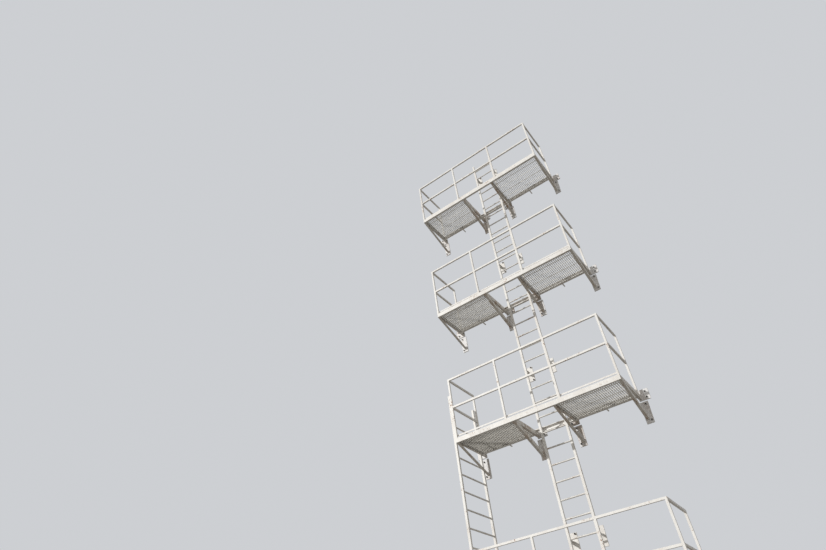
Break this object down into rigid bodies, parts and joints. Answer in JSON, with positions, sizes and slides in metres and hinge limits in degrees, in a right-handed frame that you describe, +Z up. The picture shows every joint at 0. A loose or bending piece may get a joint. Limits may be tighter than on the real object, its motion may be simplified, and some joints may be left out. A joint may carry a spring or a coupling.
{
  "type": "fire escape stair",
  "caption": "Wall-mounted steel fire escape: railed grating platforms on triangular wall brackets, stacked floor by floor, with a fixed vertical ladder through them and another at one end.",
  "frame": {"origin": "on the wall's face, at the middle of the back of the lowest platform's left upper wall plate", "axes": "+X to the right along the wall, +Y into the wall, +Z up"},
  "size_m": [3.226, 0.952, 12.655],
  "materials": {
    "painted_frame": "weathered off-white paint, satin",
    "painted_brackets": "weathered off-white paint with grime on the wall plates",
    "painted_rails": "weathered off-white paint, worn where hands rest",
    "painted_ladders": "weathered off-white paint, worn on the rungs",
    "galvanised_grating": "dull hot-dip galvanised"
  },
  "bodies": {
    "root": {"front_channel_1": "painted_frame", "toe_board_1": "painted_frame", "end_brackets_1": "painted_brackets", "inner_brackets_1": "painted_brackets", "rear_beams_1": "painted_frame", "gratings_1": "galvanised_grating", "posts_1": "painted_rails", "front_rails_1": "painted_rails", "end_rails_1": "painted_rails", "front_channel_2": "painted_frame", "toe_board_2": "painted_frame", "end_brackets_2": "painted_brackets", "inner_brackets_2": "painted_brackets", "rear_beams_2": "painted_frame", "gratings_2": "galvanised_grating", "posts_2": "painted_rails", "front_rails_2": "painted_rails", "end_rails_2": "painted_rails", "front_channel_3": "painted_frame", "toe_board_3": "painted_frame", "end_brackets_3": "painted_brackets", "inner_brackets_3": "painted_brackets", "rear_beams_3": "painted_frame", "gratings_3": "galvanised_grating", "posts_3": "painted_rails", "front_rails_3": "painted_rails", "end_rails_3": "painted_rails", "front_channel_4": "painted_frame", "toe_board_4": "painted_frame", "end_brackets_4": "painted_brackets", "inner_brackets_4": "painted_brackets", "rear_beams_4": "painted_frame", "gratings_4": "galvanised_grating", "posts_4": "painted_rails", "front_rails_4": "painted_rails", "end_rails_4": "painted_rails", "centre_ladder_stringers": "painted_ladders", "centre_ladder_rungs": "painted_ladders", "centre_ladder_brackets": "painted_brackets", "end_ladder_stringers": "painted_ladders", "end_ladder_rungs": "painted_ladders", "end_ladder_brackets": "painted_brackets"}
  },
  "joints": []
}
